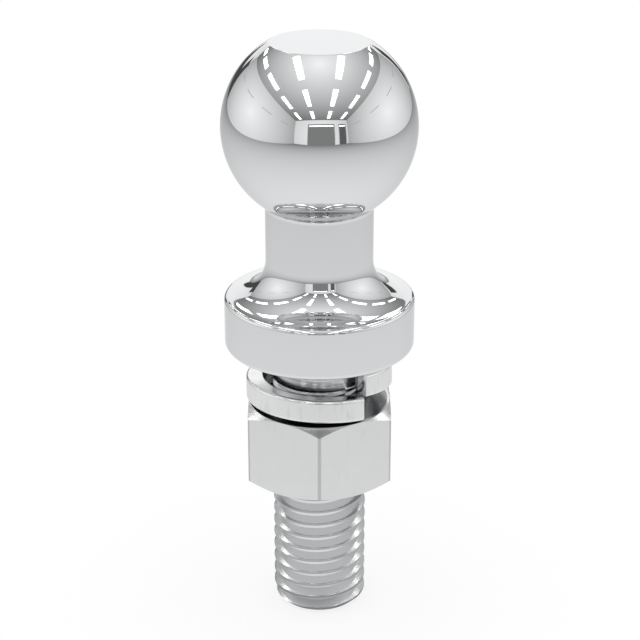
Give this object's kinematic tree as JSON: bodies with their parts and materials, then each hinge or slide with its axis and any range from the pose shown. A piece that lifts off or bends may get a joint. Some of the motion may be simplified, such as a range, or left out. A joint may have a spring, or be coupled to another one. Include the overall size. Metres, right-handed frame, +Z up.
{
  "type": "towing ball stud",
  "caption": "Chrome towing ball with a flat top on a long neck, collar and threaded shank, with its hex nut and split spring washer.",
  "frame": {"origin": "centre of the flat end of the shank, on which the stud stands", "axes": "+Z up the stud's axis towards the ball, and one corner of the nut points to -Y at rest"},
  "size_m": [0.0508, 0.0508, 0.1594],
  "materials": {
    "ball_stud": "polished chrome plate on forged steel",
    "lock_washer": "bright zinc plate on spring steel",
    "hex_nut": "bright zinc plate on cold formed steel"
  },
  "bodies": {
    "stud": {"ball_stud": "ball_stud"},
    "washer": {"lock_washer": "lock_washer"},
    "nut": {"hex_nut": "hex_nut"}
  },
  "joints": [
    {"name": "washer_slide", "type": "slide", "parent": "stud", "child": "washer", "axis": [0, 0, 1], "range_m": [-0.0381, 0.0032]},
    {"name": "nut_turn", "type": "hinge", "parent": "washer", "child": "nut", "pos_m": [0, 0, 0.05], "axis": [0, 0, 1], "range_deg": [-3600, 300]}
  ],
  "couplings": [
    {"joint": "washer_slide", "follows": "nut_turn", "m_per_rad": 0.00060479}
  ]
}
